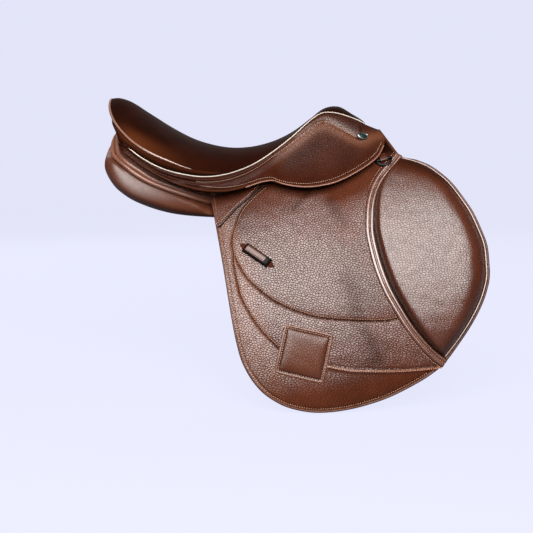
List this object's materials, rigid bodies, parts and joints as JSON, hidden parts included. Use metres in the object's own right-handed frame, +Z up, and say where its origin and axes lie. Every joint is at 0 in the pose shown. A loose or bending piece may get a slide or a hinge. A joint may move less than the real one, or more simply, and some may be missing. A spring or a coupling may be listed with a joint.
{
  "type": "jumping saddle",
  "caption": "Leather jumping saddle with a deep seat, forward flaps with outside knee blocks, lifting skirts over stirrup bars, and girth straps under the flaps.",
  "frame": {"origin": "on the centre plane, level with the underside of the panels behind the girth, about two thirds of the way from the pommel to the cantle", "axes": "+X towards the horse's head, +Y to the horse's left, +Z up"},
  "size_m": [0.619, 0.4766, 0.4916],
  "materials": {
    "tree": "moulded",
    "steel": "plain",
    "webbing": "woven",
    "foam": "open foam",
    "seat_leather": "smooth, waxed",
    "piping": "smooth, natural",
    "leather": "smooth",
    "panel_leather": "soft, smooth",
    "grain_leather": "pebble grain",
    "block_leather": "fine grain",
    "stud_metal": "oval boss, dulled",
    "brass": "polished"
  },
  "bodies": {
    "saddle": {"tree": "tree", "gullet_plate": "steel", "head_rivets": "steel", "seat_webs": "webbing", "seat_foam": "foam", "seat_cover": "seat_leather", "seat_welt": "piping", "cantle_facing": "leather", "pommel_facing": "leather", "pommel_studs": "stud_metal", "strap_rivets": "brass", "catch_pins": "steel", "dee_chapes": "leather", "skirt_right": "leather", "skirt_left": "leather", "panel_right": "panel_leather", "panel_left": "panel_leather", "sweat_flap_right": "leather", "sweat_flap_left": "leather", "girth_web_right": "webbing", "girth_web_left": "webbing", "stirrup_bar_right": "steel", "stirrup_bar_left": "steel", "flap_top_right": "grain_leather", "flap_top_left": "grain_leather", "flap_tab_right": "leather", "flap_tab_left": "leather"},
    "flap_right": {"flap_right": "grain_leather", "knee_block_right": "block_leather", "block_welt_right": "leather", "keeper_right": "leather", "guard_right": "leather"},
    "skirt_lobe_right": {"skirt_lobe_right": "leather"},
    "bar_catch_right": {"bar_catch_right": "steel"},
    "dee_right": {"dee_right": "brass"},
    "strap_front_right": {"strap_front_right": "leather"},
    "strap_rear_right": {"strap_rear_right": "leather"},
    "flap_left": {"flap_left": "grain_leather", "knee_block_left": "block_leather", "block_welt_left": "leather", "keeper_left": "leather", "guard_left": "leather"},
    "skirt_lobe_left": {"skirt_lobe_left": "leather"},
    "bar_catch_left": {"bar_catch_left": "steel"},
    "dee_left": {"dee_left": "brass"},
    "strap_front_left": {"strap_front_left": "leather"},
    "strap_rear_left": {"strap_rear_left": "leather"}
  },
  "joints": [
    {"name": "flap_lift_right", "type": "hinge", "parent": "saddle", "child": "flap_right", "pos_m": [0.07522, -0.11593, 0.03662], "axis": [-0.9576, -0.0838, -0.2756], "range_deg": [0, 68]},
    {"name": "flap_lift_left", "type": "hinge", "parent": "saddle", "child": "flap_left", "pos_m": [0.07522, 0.11593, 0.03662], "axis": [0.9576, -0.0838, 0.2756], "range_deg": [0, 68]},
    {"name": "skirt_lift_right", "type": "hinge", "parent": "saddle", "child": "skirt_lobe_right", "pos_m": [0.00419, -0.1186, 0.05959], "axis": [-0.9071, -0.2314, -0.3517], "range_deg": [0, 80]},
    {"name": "skirt_lift_left", "type": "hinge", "parent": "saddle", "child": "skirt_lobe_left", "pos_m": [0.00419, 0.1186, 0.05959], "axis": [0.9071, -0.2314, 0.3517], "range_deg": [0, 80]},
    {"name": "catch_flip_right", "type": "hinge", "parent": "saddle", "child": "bar_catch_right", "pos_m": [0.08498, -0.07255, 0.09248], "axis": [0, 0.9613, -0.2756], "range_deg": [0, 80]},
    {"name": "catch_flip_left", "type": "hinge", "parent": "saddle", "child": "bar_catch_left", "pos_m": [0.08498, 0.07255, 0.09248], "axis": [0, 0.9613, 0.2756], "range_deg": [0, 80]},
    {"name": "dee_swing_right", "type": "hinge", "parent": "saddle", "child": "dee_right", "pos_m": [0.20203, -0.09796, 0.09487], "axis": [-0.9576, -0.0838, -0.2756], "range_deg": [0, 95]},
    {"name": "dee_swing_left", "type": "hinge", "parent": "saddle", "child": "dee_left", "pos_m": [0.20203, 0.09796, 0.09487], "axis": [0.9576, -0.0838, 0.2756], "range_deg": [0, 95]},
    {"name": "strap_front_swing_right", "type": "hinge", "parent": "saddle", "child": "strap_front_right", "pos_m": [0.08825, -0.10835, 0.05432], "axis": [-0.0919, -0.818, 0.5678], "range_deg": [-2, 6]},
    {"name": "strap_front_swing_left", "type": "hinge", "parent": "saddle", "child": "strap_front_left", "pos_m": [0.08825, 0.10835, 0.05432], "axis": [0.0919, -0.818, -0.5678], "range_deg": [-2, 6]},
    {"name": "strap_rear_swing_right", "type": "hinge", "parent": "saddle", "child": "strap_rear_right", "pos_m": [0.04037, -0.11253, 0.04054], "axis": [-0.0919, -0.818, 0.5678], "range_deg": [-3, 3]},
    {"name": "strap_rear_swing_left", "type": "hinge", "parent": "saddle", "child": "strap_rear_left", "pos_m": [0.04037, 0.11253, 0.04054], "axis": [0.0919, -0.818, -0.5678], "range_deg": [-3, 3]}
  ]
}
